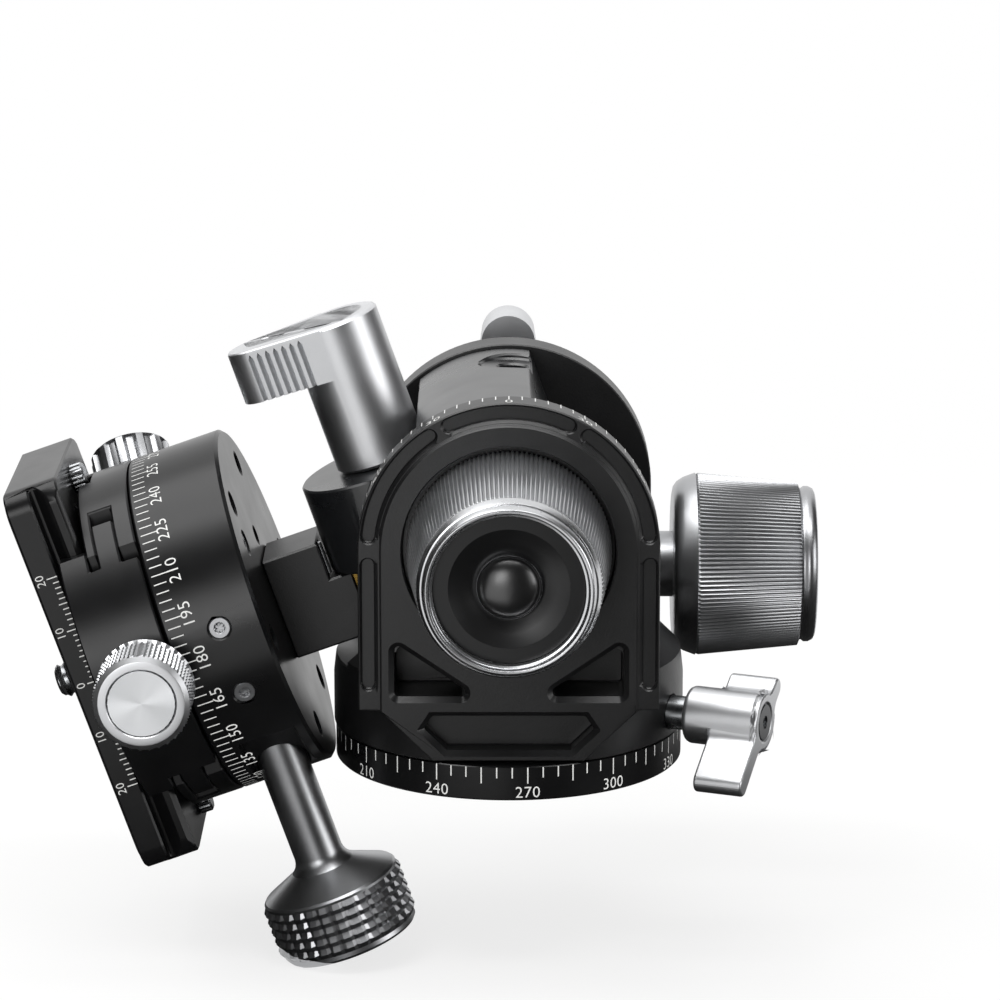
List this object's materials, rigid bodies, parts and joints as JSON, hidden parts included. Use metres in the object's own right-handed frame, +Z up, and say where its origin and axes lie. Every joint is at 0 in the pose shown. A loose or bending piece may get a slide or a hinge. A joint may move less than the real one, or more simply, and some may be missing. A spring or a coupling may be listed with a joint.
{
  "type": "geared tripod head",
  "caption": "Geared tripod head with a turning dial foot, a tilting yoke rotor, a panning drum and a sliding clamp with a dovetail camera plate.",
  "frame": {"origin": "middle of the foot's underside, at the mouth of the tripod thread", "axes": "+Z up through the foot, +X to the side of the large side knob, -Y to the front knob"},
  "size_m": [0.1446, 0.1135, 0.1164],
  "materials": {
    "black_anodised": "satin black anodised",
    "steel": "machined steel",
    "silver_alloy": "satin silver alloy",
    "grey_alloy": "satin grey alloy",
    "bronze": "turned bronze",
    "brass": "cut brass",
    "washer_plastic": "pale plastic",
    "rubber": "matt rubber",
    "dish_plastic": "gloss black"
  },
  "bodies": {
    "foot": {"base_disc": "black_anodised", "base_pad": "rubber", "thread_bush": "steel", "pan_washer": "washer_plastic", "pan_retainer": "steel", "retainer_screws": "steel"},
    "yoke_body": {"yoke": "black_anodised", "front_bush": "bronze", "worm_bushes": "bronze", "rear_cover": "black_anodised", "cover_screws": "steel", "rear_bush": "bronze", "lock_pad": "brass"},
    "foot_lock": {"base_knob": "silver_alloy", "base_knob_stud": "steel"},
    "side_drive": {"side_knob": "grey_alloy", "side_knob_cap": "black_anodised", "side_worm": "steel"},
    "rear_lock": {"rear_lever": "silver_alloy", "rear_lever_stud": "steel"},
    "rotor_body": {"rotor": "black_anodised", "tilt_wheel": "brass", "axle_bushes": "bronze", "knob_bush": "bronze"},
    "front_drive": {"front_knob": "grey_alloy", "front_knob_ring": "silver_alloy", "front_knob_dish": "dish_plastic", "front_worm": "steel"},
    "tilt_lock": {"tilt_lever": "silver_alloy", "tilt_lever_stud": "steel"},
    "pan_body": {"arm": "black_anodised", "front_wheel": "brass", "axle": "steel", "limit_pin": "steel", "arm_screws": "steel", "pan_base": "black_anodised", "side_screws": "steel", "under_screws": "steel", "thrust_washer": "washer_plastic", "pan_shoe": "brass"},
    "pan_lock": {"pan_knob": "grey_alloy", "pan_knob_screw": "steel"},
    "table": {"turntable": "black_anodised", "jaw_spring": "steel", "plate": "black_anodised", "plate_pad": "rubber", "stop_screws": "steel"},
    "jaw_body": {"jaw": "black_anodised", "guide_pins": "steel"},
    "clamp_drive": {"clamp_knob": "silver_alloy", "clamp_disc": "silver_alloy", "clamp_screw": "steel"},
    "drag_lock": {"drag_knob": "grey_alloy", "drag_stem": "steel"},
    "camera_bolt": {"camera_screw": "steel"}
  },
  "joints": [
    {"name": "yoke_turn", "type": "hinge", "parent": "foot", "child": "yoke_body", "pos_m": [0, 0, 0.01], "axis": [0, 0, 1], "continuous": true},
    {"name": "foot_lock_turn", "type": "hinge", "parent": "yoke_body", "child": "foot_lock", "pos_m": [0.03693, -0.01537, 0.0106], "axis": [0.9232, -0.3843, 0], "range_deg": [0, 120]},
    {"name": "side_tilt", "type": "hinge", "parent": "yoke_body", "child": "rotor_body", "pos_m": [0, 0, 0.0439], "axis": [0, 1, 0], "range_deg": [0, 160]},
    {"name": "side_knob_turn", "type": "hinge", "parent": "yoke_body", "child": "side_drive", "pos_m": [0.03, 0.0265, 0.0278], "axis": [1, 0, 0], "range_deg": [0, 4810]},
    {"name": "rear_lever_turn", "type": "hinge", "parent": "yoke_body", "child": "rear_lock", "pos_m": [0, 0.045, 0.0439], "axis": [0, 1, 0], "range_deg": [-30, 30]},
    {"name": "front_tilt", "type": "hinge", "parent": "rotor_body", "child": "pan_body", "pos_m": [-0.01668, 0, 0.03799], "axis": [-0.3338, 0, 0.9426], "range_deg": [-7, 7]},
    {"name": "front_knob_turn", "type": "hinge", "parent": "rotor_body", "child": "front_drive", "pos_m": [0, -0.04, 0.0439], "axis": [0, 1, 0], "range_deg": [-200, 200]},
    {"name": "tilt_lever_turn", "type": "hinge", "parent": "rotor_body", "child": "tilt_lock", "pos_m": [-0.0267, 0, 0.06627], "axis": [-0.3338, 0, 0.9426], "range_deg": [-30, 30]},
    {"name": "pan_lock_turn", "type": "hinge", "parent": "pan_body", "child": "pan_lock", "pos_m": [-0.03501, -0.0157, -0.01093], "axis": [-0.3338, 0, 0.9426], "range_deg": [-360, 0]},
    {"name": "table_turn", "type": "hinge", "parent": "pan_body", "child": "table", "pos_m": [-0.05656, 0, 0.02387], "axis": [-0.9426, 0, -0.3338], "continuous": true},
    {"name": "jaw_slide", "type": "slide", "parent": "table", "child": "jaw_body", "axis": [0, -1, 0], "range_m": [0, 0.004], "deforming": ["jaw_spring"]},
    {"name": "clamp_turn", "type": "hinge", "parent": "jaw_body", "child": "clamp_drive", "pos_m": [-0.06231, -0.04, 0.02184], "axis": [0, -1, 0], "range_deg": [0, 1450]},
    {"name": "drag_turn", "type": "hinge", "parent": "table", "child": "drag_lock", "pos_m": [-0.06823, 0.02208, 0.04575], "axis": [-0.2481, 0.6691, 0.7005], "range_deg": [-90, 90]},
    {"name": "camera_screw_turn", "type": "hinge", "parent": "table", "child": "camera_bolt", "pos_m": [-0.07835, 0, 0.0135], "axis": [-0.9426, 0, -0.3338], "continuous": true}
  ],
  "couplings": [
    {"joint": "side_knob_turn", "follows": "side_tilt", "ratio": 30},
    {"joint": "front_knob_turn", "follows": "front_tilt", "ratio": -28},
    {"joint": "clamp_turn", "follows": "jaw_slide", "rad_per_m": 6283.2}
  ]
}
